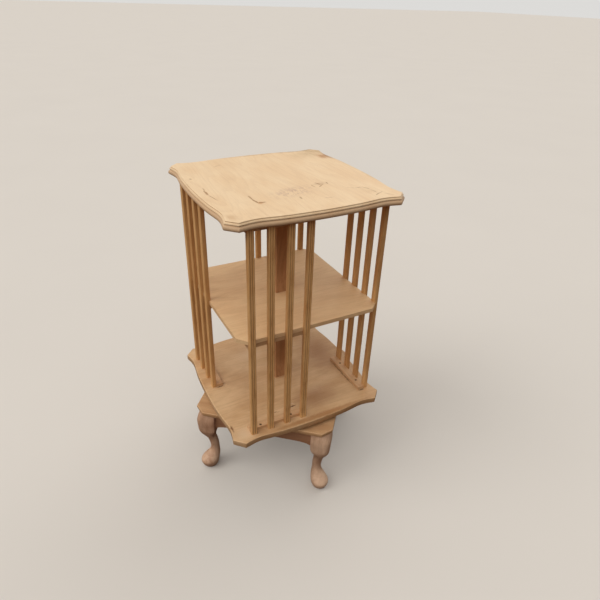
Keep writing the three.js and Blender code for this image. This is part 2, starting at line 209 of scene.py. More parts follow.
def wood(name, pale, mid, dark, figure, fibre, lime, marks=None):
    """Bleached, limed wood. pale is the lime wash, mid the bare wood, dark the pores.
    figure, fibre and lime say how strong the growth lines, the streaks and the wash are."""
    material = bpy.data.materials.new(name)
    t = Tree(material)
    grain = t.add("Attribute", attribute_name="grain").outputs["Vector"]
    wear = t.add("Attribute", attribute_name="wear").outputs["Fac"]
    pale, mid, dark = srgb(pale), srgb(mid), srgb(dark)

    wander = t.times(t.noise(t.stretch(grain, WANDER_SCALE), detail=2), GRAIN_WANDER)
    bent = t.shifted(grain, t.add("CombineXYZ", {"Y": wander}).outputs[0])
    # growth lines: contour lines of a long stretched noise
    field = t.noise(t.stretch(bent, RING_SCALE), detail=1, roughness=0.4)
    rings = t.math("FRACT", t.times(field, GROWTH_LINES))
    late = t.times(t.ramp(rings, 0.35, 0.92), t.ramp(rings, 1.0, 0.94))
    streaks = t.noise(t.stretch(bent, STREAK_SCALE), detail=4, roughness=0.6)
    fibres = t.noise(t.stretch(bent, FIBRE_SCALE), detail=2, roughness=0.6)
    pores = t.ramp(t.noise(t.stretch(bent, PORE_SCALE), detail=1), 0.60, 0.70)
    blotch = t.noise(t.stretch(grain, BLOTCH_SCALE), detail=4, roughness=0.62)
    cloud = t.noise(t.stretch(grain, CLOUD_SCALE), detail=2)
    fleck = t.ramp(t.noise(t.stretch(grain, FLECK_SCALE), detail=2), 0.70, 0.78)

    washed = t.times(t.ramp(blotch, 0.30, 0.70), lime)
    washed = t.math("ADD", washed, t.times(cloud, CLOUD_WASH), clamp=True)
    colour = t.mix(washed, mid, pale)
    colour = t.mix(t.times(late, LATE_TINT * figure), colour, dark)
    colour = t.mix(t.times(t.ramp(streaks, 0.45, 0.75), STREAK_TINT * fibre), colour, dark)
    colour = t.mix(t.times(t.ramp(streaks, 0.48, 0.25), STREAK_TINT * fibre), colour, pale)
    colour = t.mix(t.times(t.ramp(fibres, 0.5, 0.8), FIBRE_TINT * fibre), colour, dark)
    colour = t.mix(t.times(pores, PORE_TINT * fibre), colour, dark)
    colour = t.mix(t.times(fleck, FLECK_TINT), colour, dark)

    breakup = t.ramp(t.noise(t.stretch(grain, BREAKUP_SCALE), detail=3), 0.30, 0.62)
    rubbed = t.times(t.ramp(wear, 0.25, 1.0), breakup)
    colour = t.mix(t.times(rubbed, RUBBED_TINT), colour, pale)
    dirty = t.ramp(wear, -0.15, -0.9)
    colour = t.mix(t.times(dirty, DIRT_TINT), colour, dark)
    height = t.math("ADD", t.times(streaks, STREAK_RISE), t.times(fibres, FIBRE_RISE))
    height = t.math("SUBTRACT", height, t.times(pores, PORE_SINK))
    height = t.math("SUBTRACT", height, t.times(late, LATE_SINK))
    rough = t.math("ADD", t.times(blotch, BLOTCH_ROUGHNESS), WOOD_ROUGHNESS)
    if marks:
        colour, height = marks(t, grain, colour, height)
    t.finish(colour, rough, height, **{"Specular IOR Level": WAX_SHINE})
    return material


# ---- marks on the top board ----
# Stains: centre (x, y), half sizes along y and along x, turn in degrees, where they reach
# full strength, strength and colour. Metres.
TOP_STAINS = [
    ((0.196, 0.190), (0.042, 0.062), 0, 0.1, 0.55, "a2814e"),
    ((0.200, 0.142), (0.034, 0.028), 0, 0.1, 0.75, "a96e32"),
    ((0.215, 0.140), (0.050, 0.0100), 0, 0.2, 0.60, "85552a"),
    ((0.160, 0.218), (0.0110, 0.085), 0, 0.2, 0.75, "80602f"),
    ((0.040, 0.221), (0.0080, 0.170), 0, 0.2, 0.42, "a9824c"),
    ((0.221, 0.000), (0.1500, 0.0070), 0, 0.2, 0.35, "b08850"),
    ((0.150, 0.165), (0.055, 0.065), 0, 0.1, 0.32, "b39463"),
    ((-0.109, 0.160), (0.018, 0.006), -55, 0.2, 0.45, "b08a58"),
    ((-0.202, -0.188), (0.024, 0.016), 0, 0.2, 0.35, "b98e5c"),
    ((-0.117, -0.137), (0.010, 0.009), 0, 0.2, 0.80, "bd7c36"),
    ((0.070, -0.072), (0.014, 0.030), 0, 0.1, 0.35, "a98560"),
    ((0.155, -0.155), (0.035, 0.030), 0, 0.1, 0.25, "c49a66"),
]
# Scratches: start (x, y), end (x, y), half width, strength. Metres.
TOP_STROKES = [
    ((-0.207, 0.081), (-0.207, 0.079), 0.0036, 0.75),
    ((-0.199, 0.005), (-0.204, -0.022), 0.0022, 0.60),
    ((-0.204, -0.016), (-0.203, -0.044), 0.0042, 0.85),
    ((-0.203, -0.044), (-0.196, -0.088), 0.0020, 0.60),
    ((-0.123, -0.084), (-0.124, -0.112), 0.0030, 0.75),
    ((-0.124, -0.106), (-0.121, -0.136), 0.0034, 0.90),
    ((-0.121, -0.134), (-0.104, -0.136), 0.0044, 0.80),
    ((0.063, -0.060), (0.069, -0.078), 0.0024, 0.75),
    ((0.056, -0.092), (0.076, -0.077), 0.0024, 0.70),
    ((0.046, -0.071), (0.047, -0.089), 0.0020, 0.60),
    ((0.091, -0.064), (0.089, -0.079), 0.0022, 0.65),
    ((-0.018, -0.135), (-0.020, -0.149), 0.0032, 0.60),
    ((0.028, -0.163), (0.055, -0.165), 0.0016, 0.45),
    ((0.114, -0.120), (0.133, -0.131), 0.0014, 0.45),
    ((0.133, -0.131), (0.154, -0.130), 0.0020, 0.65),
    ((0.154, -0.130), (0.162, -0.153), 0.0020, 0.70),
    ((0.162, -0.153), (0.164, -0.178), 0.0018, 0.60),
    ((0.151, -0.192), (0.171, -0.181), 0.0024, 0.70),
    ((0.171, -0.181), (0.179, -0.178), 0.0018, 0.55),
    ((0.175, -0.187), (0.195, -0.210), 0.0016, 0.45),
]
WORN_CENTRE = (-0.018, -0.100)
WORN_SIZE = (0.044, 0.085)
WORN_TURN = math.radians(14)
WORN_COLOUR = "b08c7c"
WORN_TINT = 0.50
STROKE_COLOUR = "96652f"
STROKE_TINT = 0.85
STROKE_SINK = 0.5
STROKE_LENGTH = 0.55  # half length of the drawn ellipse, per length of the scratch
STROKE_WANDER = 0.4  # share of the stains' wander that the scratches follow
STROKE_EDGE = 0.5
GRIME_SCALE = (34, 34, 34)
GRIME_LEAST = 0.4  # the weakest that grime leaves a stain, as a share of its strength
PATCHY_SCALE = (60, 150, 150)
FACE_SKIN = (0.003, 0.0005)  # the marks fade out between these depths below the face


def top_marks(t, grain, colour, height):
    """Dents, scratches, a worn patch and a stained corner on the top board.
    Grain X runs along row Y here and grain Y along minus row X."""
    across = t.wander(grain, scale=120, reach=0.012)
    along = t.wander(grain, scale=55, reach=0.014, location=(3, 7, 1))
    shift = t.add("CombineXYZ", {"X": across, "Y": along}).outputs[0]
    where = t.shifted(grain, shift)
    slight = t.add("VectorMath", {0: shift, "Scale": STROKE_WANDER}, operation="SCALE")
    near = t.shifted(grain, slight.outputs[0])

    def place(x, y):
        return (y, -x)

    grimy = t.ramp(t.noise(t.stretch(grain, GRIME_SCALE), detail=4), 0.30, 0.62)
    grimy = t.math("ADD", t.times(grimy, 1 - GRIME_LEAST), GRIME_LEAST)
    face = TOP_FACE * METRES
    depth, skin = FACE_SKIN
    height_of = t.add("SeparateXYZ", {"Vector": grain}).outputs["Z"]
    on_face = t.ramp(height_of, face - depth, face - skin)
    for centre, size, degrees, edge, strength, tint in TOP_STAINS:
        stain = t.spot(where, place(*centre), size, math.radians(degrees), edge)
        stain = t.times(t.times(stain, grimy), on_face)
        colour = t.mix(t.times(stain, strength), colour, srgb(tint))
    worn = t.spot(where, place(*WORN_CENTRE), WORN_SIZE, WORN_TURN, edge=0.1)
    patchy = t.noise(t.stretch(grain, PATCHY_SCALE), detail=4, roughness=0.7)
    patchy = t.ramp(patchy, 0.42, 0.60)
    colour = t.mix(t.times(t.times(worn, patchy), WORN_TINT), colour, srgb(WORN_COLOUR))

    total = None
    for start, end, width, strength in TOP_STROKES:
        a, b = Vector(place(*start)), Vector(place(*end))
        run = b - a
        size = (STROKE_LENGTH * run.length + width, width)
        one = t.spot(near, (a + b) / 2, size, math.atan2(run.y, run.x), STROKE_EDGE)
        one = t.times(one, strength)
        total = one if total is None else t.math("MAXIMUM", total, one)
    total = t.times(total, on_face)
    colour = t.mix(t.times(total, STROKE_TINT), colour, srgb(STROKE_COLOUR))
    height = t.math("SUBTRACT", height, t.times(total, STROKE_SINK))
    return colour, height


# ---- marks and painted shade on the bottom board ----
# Centre (x, y), half sizes along x and along y, turn in degrees, where they reach full
# strength, strength and colour. Metres.
BOTTOM_MARKS_AND_PAINTED_SHADE = [
    ((-0.046, -0.194), (0.018, 0.006), 15, 0.2, 0.60, "ead4b4"),
    ((-0.033, -0.156), (0.016, 0.0034), 2, 0.4, 0.90, "4c2e18"),
    ((-0.083, -0.157), (0.014, 0.0022), -12, 0.3, 0.60, "7c4c24"),
    ((-0.028, -0.144), (0.011, 0.0016), -48, 0.3, 0.60, "ecd8bc"),
    # painted shade: dark spots in the corner at the right foot of each front slat, where it meets the
    # cleat
    ((-0.163, -0.206), (0.0055, 0.0045), 0, 0.2, 0.75, "54341a"),
    ((-0.115, -0.206), (0.0050, 0.0040), 0, 0.2, 0.70, "54341a"),
    ((-0.067, -0.206), (0.0055, 0.0045), 0, 0.2, 0.75, "54341a"),
    ((-0.016, -0.205), (0.0050, 0.0040), 0, 0.2, 0.65, "54341a"),
    ((-0.2165, -0.1640), (0.0042, 0.018), 0, 0.3, 0.80, "70401c"),
    ((0.020, -0.221), (0.215, 0.013), 0, 0.3, 0.65, "9d6834"),
    ((0.060, -0.120), (0.045, 0.030), 20, 0.1, 0.25, "e3c7a4"),
    ((-0.110, -0.060), (0.050, 0.035), -15, 0.1, 0.25, "b98c62"),
    # painted shade: the board's right part and its front right part, darker as in the shadow of the
    # shelf and top above
    ((0.165, 0.050), (0.095, 0.170), 0, 0.0, 0.65, "8f5a2a"),
    ((0.045, -0.150), (0.120, 0.065), 0, 0.0, 0.60, "84501f"),
    ((-0.190, -0.195), (0.050, 0.040), 0, 0.0, 0.50, "e6cfae"),
    # painted shade: dark lines on the board at the foot of the side cleats' ends and along their inner
    # sides
    ((-0.186, 0.0125), (0.013, 0.0035), 0, 0.3, 0.75, "54341a"),
    ((-0.174, 0.040), (0.0022, 0.030), 0, 0.3, 0.45, "6a4424"),
    ((0.186, -0.1810), (0.013, 0.0035), 0, 0.3, 0.80, "4c2e18"),
    ((0.174, -0.090), (0.0028, 0.095), 0, 0.3, 0.60, "5f3d20"),
    ((-0.050, 0.120), (0.060, 0.050), 10, 0.0, 0.35, "e6caa8"),
]


def bottom_marks_and_painted_shade(t, grain, colour, height):
    """Dirt, dents, filler and scratches on the bottom board, with painted shade at the slat feet, along
    the side cleats and over its right part. Grain X runs along row X.
    """
    shift = t.wander(grain, scale=140, reach=0.009)
    where = t.shifted(grain, t.add("CombineXYZ", {"X": shift, "Y": shift}).outputs[0])
    for centre, size, degrees, edge, strength, tint in BOTTOM_MARKS_AND_PAINTED_SHADE:
        mark = t.spot(where, centre, size, math.radians(degrees), edge)
        colour = t.mix(t.times(mark, strength), colour, srgb(tint))
    return colour, height


# ---- metal ----
METAL_CLOUD_SCALE = (60, 60, 60)
BRUSHED_SCALE = (300, 2400, 2400)
POLISHED_SCALE = (900, 900, 900)
METAL_ROUGHNESS_SPREAD = 0.18


def metal(name, colour, tint, roughness, fine_scale=BRUSHED_SCALE):
    """Zinc-plated or polished steel with handling marks."""
    material = bpy.data.materials.new(name)
    t = Tree(material)
    place = t.add("TexCoord").outputs["Object"]
    cloud = t.noise(t.stretch(place, METAL_CLOUD_SCALE), detail=4)
    fine = t.noise(t.stretch(place, fine_scale), detail=2)
    shade = t.mix(t.ramp(cloud, 0.35, 0.65), srgb(colour), srgb(tint))
    rough = t.math("ADD", t.times(fine, METAL_ROUGHNESS_SPREAD), roughness)
    t.finish(shade, rough, fine, bump=0.12, distance=0.0002, Metallic=1.0)
    return material


TOP_WOOD = wood(
    "limed_top", "f1d8b3", "e6c499", "8c5022", figure=0.22, fibre=0.26, lime=0.55, marks=top_marks
)
BOARD_WOOD = wood(
    "limed_boards", "eecb9c", "dbb080", "84542e", figure=0.30, fibre=0.34, lime=0.55
)
BOTTOM_WOOD = wood(
    "limed_base", "dfbd92", "c19668", "7c5030",
    figure=0.34, fibre=0.40, lime=0.62, marks=bottom_marks_and_painted_shade,
)
SLAT_WOOD = wood("limed_slats", "e8bb80", "c28b54", "6a3a1a", figure=0.3, fibre=0.60, lime=0.55)
POST_WOOD = wood("limed_posts", "c09068", "a06e44", "4a2c12", figure=0.6, fibre=0.6, lime=0.45)
CLEAT_WOOD = wood("limed_cleats", "dab58a", "c4966a", "7c4e2a", figure=0.40, fibre=0.40, lime=0.5)
STAND_WOOD = wood("limed_stand", "d4ae82", "b78a60", "74482c", figure=0.35, fibre=0.45, lime=0.55)
# aprons: the pinkish tone of their wood is their own, made darker than the stand's wood as painted
# shade under the board's overhang
APRON_WOOD_PAINTED_SHADE = wood("limed_aprons", "b88c6c", "946648", "5a3420", figure=0.35, fibre=0.45, lime=0.55)
LEG_WOOD = wood("limed_legs", "dcba9c", "9c6c4f", "64391f", figure=0.30, fibre=0.50, lime=0.85)
STEEL = metal("zinc_steel", "a9a9a4", "8d8a80", 0.32)
BALL_STEEL = metal("ball_steel", "c9cacc", "b5b6b8", 0.08, POLISHED_SCALE)
SCREW_STEEL = metal("aged_screw_steel", "8a7253", "5a452d", 0.45)


# ---- shape helpers ----
def smooth_shade(mesh, degrees=38):
    mesh.polygons.foreach_set("use_smooth", [True] * len(mesh.polygons))
    mesh.set_sharp_from_angle(angle=math.radians(degrees))


# For each grain direction, the local axes that become grain X, Y and Z.
GRAIN_AXES = {
    "x": lambda p: (p.x, p.y, p.z),
    "y": lambda p: (p.y, -p.x, p.z),
    "z": lambda p: (p.z, p.x, p.y),
}
GRAIN_SPREAD = 9  # metres each way in which a piece without marks may take its grain


def make_piece(name, bm, body, material, node=None, turn=0.0, grain="x", marked=False):
    """Turns a bmesh in local millimetres into a piece that rides on a body. A marked piece
    keeps its grain coordinates where its marks are; any other gets a figure of its own."""
    mesh = bpy.data.meshes.new(name)
    bmesh.ops.recalc_face_normals(bm, faces=bm.faces)
    bm.to_mesh(mesh)
    bm.free()
    offset = Vector()
    if not marked:
        draw = random.Random(name)
        offset = Vector([draw.uniform(-GRAIN_SPREAD, GRAIN_SPREAD) for _ in range(3)])
    attribute = mesh.attributes.new("grain", "FLOAT_VECTOR", "POINT")
    values = []
    for vertex in mesh.vertices:
        values.extend(Vector(GRAIN_AXES[grain](vertex.co)) * METRES + offset)
    attribute.data.foreach_set("vector", values)
    mesh.transform(Matrix.Rotation(turn, 4, "Z") @ Matrix.Scale(METRES, 4))
    smooth_shade(mesh)
    piece = bpy.data.objects.new(name, mesh)
    bpy.context.scene.collection.objects.link(piece)
    mesh.materials.append(material)
    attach(piece, body)
    if node:
        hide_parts(node)


def wear_layer(bm):
    return bm.verts.layers.float.get("wear") or bm.verts.layers.float.new("wear")


def bevel_sharp(bm, width, segments=3, limit=30):
    """Rounds every sharp edge and marks the middle of each rounding as worn."""
    sharp = math.radians(limit)
    edges = [e for e in bm.edges if len(e.link_faces) == 2 and e.calc_face_angle() > sharp]
    made = bmesh.ops.bevel(
        bm, geom=edges, offset=width, segments=segments, profile=0.5, affect="EDGES", clamp_overlap=True
    )
    rounded = set(made["faces"])
    layer = wear_layer(bm)
    for vertex in bm.verts:
        if all(face in rounded for face in vertex.link_faces):
            vertex[layer] = 1.0


SIDE_DIRT = -0.45


def dirty_sides(bm, low, high):
    """Marks the sides between two heights as a little dirty."""
    layer = wear_layer(bm)
    for vertex in bm.verts:
        if low < vertex.co.z < high:
            vertex[layer] = SIDE_DIRT


def prism(outline, low, high):
    bm = bmesh.new()
    wear_layer(bm)
    base = [bm.verts.new((p.x, p.y, low)) for p in outline]
    lid = [bm.verts.new((p.x, p.y, high)) for p in outline]
    count = len(outline)
    for i in range(count):
        j = (i + 1) % count
        bm.faces.new((base[i], base[j], lid[j], lid[i]))
    bm.faces.new(list(reversed(base)))
    bm.faces.new(lid)
    return bm


def rotated(point, angle):
    c, s = math.cos(angle), math.sin(angle)
    return Vector((c * point.x - s * point.y, s * point.x + c * point.y))


def four_sides(side):
    return [rotated(point, quarters * QUARTER) for quarters in range(4) for point in side]


def cubic(a, b, v0, v1, t):
    """A smooth step from a to b that leaves at v0 and arrives at v1; t goes from 0 to 1."""
    return a + v0 * t + (-3 * a + 3 * b - 2 * v0 - v1) * t**2 + (2 * a - 2 * b + v0 + v1) * t**3


def spline(points, segments):
    """Catmull-Rom curve through the points, as the CAD draws it."""
    made = []
    last = len(points) - 1
    for k in range(segments + 1):
        at = last * k / segments
        i = min(int(at), last - 1)
        p0, p1 = points[max(i - 1, 0)], points[i]
        p2, p3 = points[i + 1], points[min(i + 2, last)]
        made.append(cubic(p1, p2, (p2 - p0) * 0.5, (p3 - p1) * 0.5, at - i))
    return made


# Where the waves of a board's side dip in and come out again, as shares of its half length.
COVE_AT = 0.78
SHOULDER_AT = 0.45
SERPENTINE_SEGMENTS = 48


def serpentine_outline():
    reach = BOARD_HALF - CORNER_CLIP
    cove, shoulder = COVE_AT * reach, SHOULDER_AT * reach
    depths = [
        (-reach, 0), (-cove, COVE_DEPTH), (-shoulder, 0), (0, -CROWN),
        (shoulder, 0), (cove, COVE_DEPTH), (reach, 0),
    ]
    points = [Vector((x, depth - BOARD_HALF)) for x, depth in depths]
    curve = spline(points, SERPENTINE_SEGMENTS)
    # the points next to the corners are left out, so that inset rings don't fold there
    return four_sides([curve[0], *curve[2:-2], curve[-1]])


def clipped_square(half, clip):
    return four_sides([Vector((clip - half, -half)), Vector((half - clip, -half))])


def inset_point(outline, i, inset):
    here = outline[i]
    before = (here - outline[i - 1]).normalized()
    after = (outline[(i + 1) % len(outline)] - here).normalized()
    inward = Vector((-before.y - after.y, before.x + after.x)).normalized()
    spread = inward.dot(Vector((-before.y, before.x)))
    return here + inward * (inset / spread)


BOARD_CELL = 38
LENGTH_CELL = 14
OFF_SPACING = 0.0137  # keeps the cuts from meeting a vertex exactly, as a share of a cell


def cut_cells(bm, axis, cell):
    """Cuts a solid into slabs along one axis so that wide faces get near-square cells."""
    spots = [vertex.co[axis] for vertex in bm.verts]
    low, high = min(spots), max(spots)
    count = max(1, round((high - low) / cell))
    normal = Vector([1.0 if k == axis else 0.0 for k in range(3)])
    for k in range(1, count):
        at = low + (high - low) * (k + OFF_SPACING) / count
        geometry = [*bm.verts, *bm.edges, *bm.faces]
        bmesh.ops.bisect_plane(bm, geom=geometry, plane_co=normal * at, plane_no=normal, dist=1e-5)


def ring_board(outline, levels):
    """A board whose edge is drawn by levels of (height, inset, wear)."""
    bm = bmesh.new()
    layer = wear_layer(bm)
    rings = []
    for z, inset, wear in levels:
        ring = []
        for i in range(len(outline)):
            point = inset_point(outline, i, inset)
            vertex = bm.verts.new((point.x, point.y, z))
            vertex[layer] = wear
            ring.append(vertex)
        rings.append(ring)
    for low, high in zip(rings, rings[1:]):
        for i in range(len(outline)):
            j = (i + 1) % len(outline)
            bm.faces.new((low[i], low[j], high[j], high[i]))
    bm.faces.new(list(reversed(rings[0])))
    bm.faces.new(rings[-1])
    cut_cells(bm, 0, BOARD_CELL)
    cut_cells(bm, 1, BOARD_CELL)
    return bm


def above(under, profile):
    return [(under + up, inset, wear) for up, inset, wear in profile]


def below(face, profile):
    return [(face - down, inset, wear) for down, inset, wear in profile]


# ---- case boards ----
# Edge profiles: height above the underside or depth below the face, inset, wear.
TOP_EDGE_LOW = [(0, 9.6, 0), (0, 8.0, 0), (0.4, 7.6, 0), (0.8, 6.4, -0.2)]
TOP_EDGE_HIGH = [
    (8.0, 4.5, -0.3), (7.5, 4.8, -0.75), (7.1, 4.4, -0.75),
    (6.8, 3.6, 0.0), (6.4, 3.2, 0.9), (5.7, 3.3, 0.5),
    (4.9, 3.6, 0.0), (3.9, 4.5, 0.0), (3.0, 5.6, 0.0),
    (2.75, 6.3, -0.3), (2.4, 6.6, -0.65), (2.05, 6.3, -0.3),
    (1.8, 6.15, 0.0), (1.2, 6.1, 0.4), (0.5, 6.3, 0.9),
    (0.1, 6.8, 1.0), (0, 7.4, 0.3), (0, 9.0, 0.0),
]
NOSING_RADIUS = 6.3
NOSING_UP = 6.9
NOSING_START = -72  # degrees up from straight outward
NOSING_END = 74
NOSING_STEPS = 14
NOSING_DIRT = -0.48
BOTTOM_EDGE_LOW = [(0, 3.0, 0), (0, 1.6, 0), (0.5, 0.5, 0.4), (1.6, 0.0, -0.4)]
BOTTOM_EDGE_HIGH = [
    (2.2, 0.0, -0.4), (1.4, 0.1, 0.4), (0.6, 0.5, 1.0), (0.1, 1.2, 1.0), (0, 2.0, 0.3), (0, 4.0, 0),
]
SHELF_ROUNDING = 0.9
SHELF_CLEAN_RIM = 0.5


def nosing(under):
    """Levels round the half-round of the top board's moulding."""
    levels = []
    for k in range(NOSING_STEPS + 1):
        angle = math.radians(NOSING_START + (NOSING_END - NOSING_START) * k / NOSING_STEPS)
        height = under + NOSING_UP + NOSING_RADIUS * math.sin(angle)
        levels.append((height, NOSING_RADIUS - NOSING_RADIUS * math.cos(angle), NOSING_DIRT))
    return levels


def top_board():
    levels = above(TOP_UNDER, TOP_EDGE_LOW) + nosing(TOP_UNDER) + below(TOP_FACE, TOP_EDGE_HIGH)
    make_piece(
        "top_board_moulded", ring_board(serpentine_outline(), levels), "case", TOP_WOOD,
        "top_board", grain="y", marked=True,
    )


def bottom_board():
    levels = above(BOTTOM_UNDER, BOTTOM_EDGE_LOW) + below(BOTTOM_FACE, BOTTOM_EDGE_HIGH)
    make_piece(
        "bottom_board_eased", ring_board(serpentine_outline(), levels), "case", BOTTOM_WOOD,
        "bottom_board", marked=True,
    )


def slat_edge(k):
    return -FIRST_SLAT_EDGE + k * SLAT_PITCH


def middle_shelf():
    reach = SHELF_HALF - SHELF_CLIP
    cut_meets_notch = -reach - (SHELF_HALF - SLAT_INNER)
    side = []
    for k in range(SLATS_PER_FACE):
        left = slat_edge(k) - NOTCH_CLEARANCE
        right = slat_edge(k) + SLAT_WIDTH + NOTCH_CLEARANCE
        if left > cut_meets_notch:
            side.append(Vector((left, -SHELF_HALF)))
        side.append(Vector((max(left, cut_meets_notch), -SLAT_INNER)))
        side += [Vector((right, -SLAT_INNER)), Vector((right, -SHELF_HALF))]
    side.append(Vector((reach, -SHELF_HALF)))
    bm = prism(four_sides(side), SHELF_UNDER, SHELF_FACE)
    bevel_sharp(bm, SHELF_ROUNDING, segments=2)
    dirty_sides(bm, SHELF_UNDER + SHELF_CLEAN_RIM, SHELF_FACE - SHELF_CLEAN_RIM)
    cut_cells(bm, 0, BOARD_CELL)
    cut_cells(bm, 1, BOARD_CELL)
    make_piece("middle_shelf_notched", bm, "case", BOARD_WOOD, "middle_shelf")


# ---- slats ----
REEDS = 3
REED_DEPTH = 1.5
REED_STEPS = 10
REED_FULLNESS = 2.6  # the higher, the flatter the crown and the tighter the valleys
REED_RUBBED = 0.9
VALLEY_DIRT = -0.65
VALLEY_SIDE_DIRT = -0.3
SLAT_ROUNDING = 1.2
ARC_MIDDLE = 0.35  # how far the middle of a rounding stays inside the corner, per size


def slat_outline():
    """Cross-section and its wear values, with three reeds on the outer face."""
    points, wear = [], []
    last = REEDS * REED_STEPS
    for k in range(last + 1):
        across = (k % REED_STEPS) / REED_STEPS
        sink = abs(2 * across - 1) ** REED_FULLNESS
        points.append(Vector((SLAT_WIDTH * k / last, REED_DEPTH * sink - SLAT_OUTER)))
        beside = 0 < k < last and min(across, 1 - across) * REED_STEPS < 1.5
        dirt = VALLEY_DIRT if across == 0 else VALLEY_SIDE_DIRT
        wear.append(dirt if beside else REED_RUBBED * (1 - sink))
    soft, half_way = SLAT_ROUNDING, ARC_MIDDLE * SLAT_ROUNDING
    for x, y in (
        (SLAT_WIDTH, -SLAT_INNER - soft), (SLAT_WIDTH - half_way, -SLAT_INNER - half_way),
        (SLAT_WIDTH - soft, -SLAT_INNER), (soft, -SLAT_INNER),
        (half_way, -SLAT_INNER - half_way), (0, -SLAT_INNER - soft),
    ):
        points.append(Vector((x, y)))
        wear.append(0.0)
    return points, wear


def slats():
    points, wear = slat_outline()
    for quarters, face in enumerate(FACES):
        for k in range(SLATS_PER_FACE):
            outline = [p + Vector((slat_edge(k), 0)) for p in points]
            bm = prism(outline, BOTTOM_FACE, TOP_UNDER)
            layer = wear_layer(bm)
            for i, vertex in enumerate(bm.verts):
                vertex[layer] = wear[i % len(wear)]
            cut_cells(bm, 2, LENGTH_CELL)
            make_piece(
                f"slat_{face}_{k + 1}_reeded", bm, "case", SLAT_WOOD,
                f"slat_{face}_{k + 1}", turn=quarters * QUARTER, grain="z",
            )


# ---- cleats and screws ----
CLEAT_ROUNDING = 1.3
CLEAT_CLEAN_RIM = 1.1
SCREW_HOLE = 4.1  # radius at the face
SCREW_HEAD = 3.5  # radius
SCREW_SINK = 0.9  # from the cleat's face down to the head
SCREW_IN = 7.5  # from the cleat's outer side to the screw
# The gap between slats in which each screw sits, and how far it is from the gap's middle.
SCREW_GAPS = [(0, 1), (2, -6)]
# Half outlines (radius, height) of a screw and of its hole, with the face at height 0.
SCREW_PROFILE = [
    (0, -4.0), (1.4, -4.0), (1.5, -2.2), (SCREW_HEAD - 0.1, -0.35),
    (SCREW_HEAD, -0.15), (SCREW_HEAD - 0.2, 0.0), (0, 0.0),
]
HOLE_PROFILE = [(0, -4.5), (1.9, -4.5), (2.0, -2.6), (SCREW_HOLE, 0.0), (SCREW_HOLE, 0.8), (0, 0.8)]
SCREW_SIDES = 24
HOLE_SIDES = 28
CROSS_LENGTH = 4.2
CROSS_WIDTH = 0.8
CROSS_HEIGHT = 2.2
CROSS_CENTRE = -0.6


def lathe(profile, steps):
    """Revolves (radius, height) points about Z; the first and last lie on the axis."""
    bm = bmesh.new()
    wear_layer(bm)
    low = bm.verts.new((0, 0, profile[0][1]))
    high = bm.verts.new((0, 0, profile[-1][1]))
    rings = []
    for radius, z in profile[1:-1]:
        rings.append([
            bm.verts.new((radius * math.cos(a), radius * math.sin(a), z))
            for a in (2 * math.pi * k / steps for k in range(steps))
        ])
    for i in range(steps):
        j = (i + 1) % steps
        bm.faces.new((low, rings[0][j], rings[0][i]))
        bm.faces.new((high, rings[-1][i], rings[-1][j]))
        for a, b in zip(rings, rings[1:]):
            bm.faces.new((a[i], a[j], b[j], b[i]))
    return bm


def cut_out(target, tool):
    """Returns a new bmesh of target with tool cut out of it."""
    objects = []
    for bm in (target, tool):
        bmesh.ops.recalc_face_normals(bm, faces=bm.faces)
        mesh = bpy.data.meshes.new("scratch")
        bm.to_mesh(mesh)
        bm.free()
        made = bpy.data.objects.new("scratch", mesh)
        bpy.context.scene.collection.objects.link(made)
        objects.append(made)
    modifier = objects[0].modifiers.new("cut", "BOOLEAN")
    modifier.operation = "DIFFERENCE"
    modifier.object = objects[1]
    modifier.solver = "EXACT"
    graph = bpy.context.evaluated_depsgraph_get()
    result = bmesh.new()
    result.from_mesh(objects[0].evaluated_get(graph).to_mesh())
    for made in objects:
        mesh = made.data
        bpy.data.objects.remove(made)
        bpy.data.meshes.remove(mesh)
    return result


def screw_shape():
    """A countersunk head with a cross recess, its face at height 0."""
    head = lathe(SCREW_PROFILE, SCREW_SIDES)
    centre = Matrix.Translation((0, 0, CROSS_CENTRE))
    for x_size, y_size in ((CROSS_LENGTH, CROSS_WIDTH), (CROSS_WIDTH, CROSS_LENGTH)):
        recess = bmesh.new()
        size = Matrix.Diagonal((x_size, y_size, CROSS_HEIGHT, 1))
        bmesh.ops.create_cube(recess, size=1, matrix=centre @ size)
        head = cut_out(head, recess)
    return head


def settle(bm, facing, place):
    """Turns a shape over if its cleat faces down, and moves it to its place."""
    if facing < 0:
        bmesh.ops.rotate(bm, verts=bm.verts, matrix=Matrix.Rotation(math.pi, 3, "X"))
    bmesh.ops.translate(bm, verts=bm.verts, vec=place)


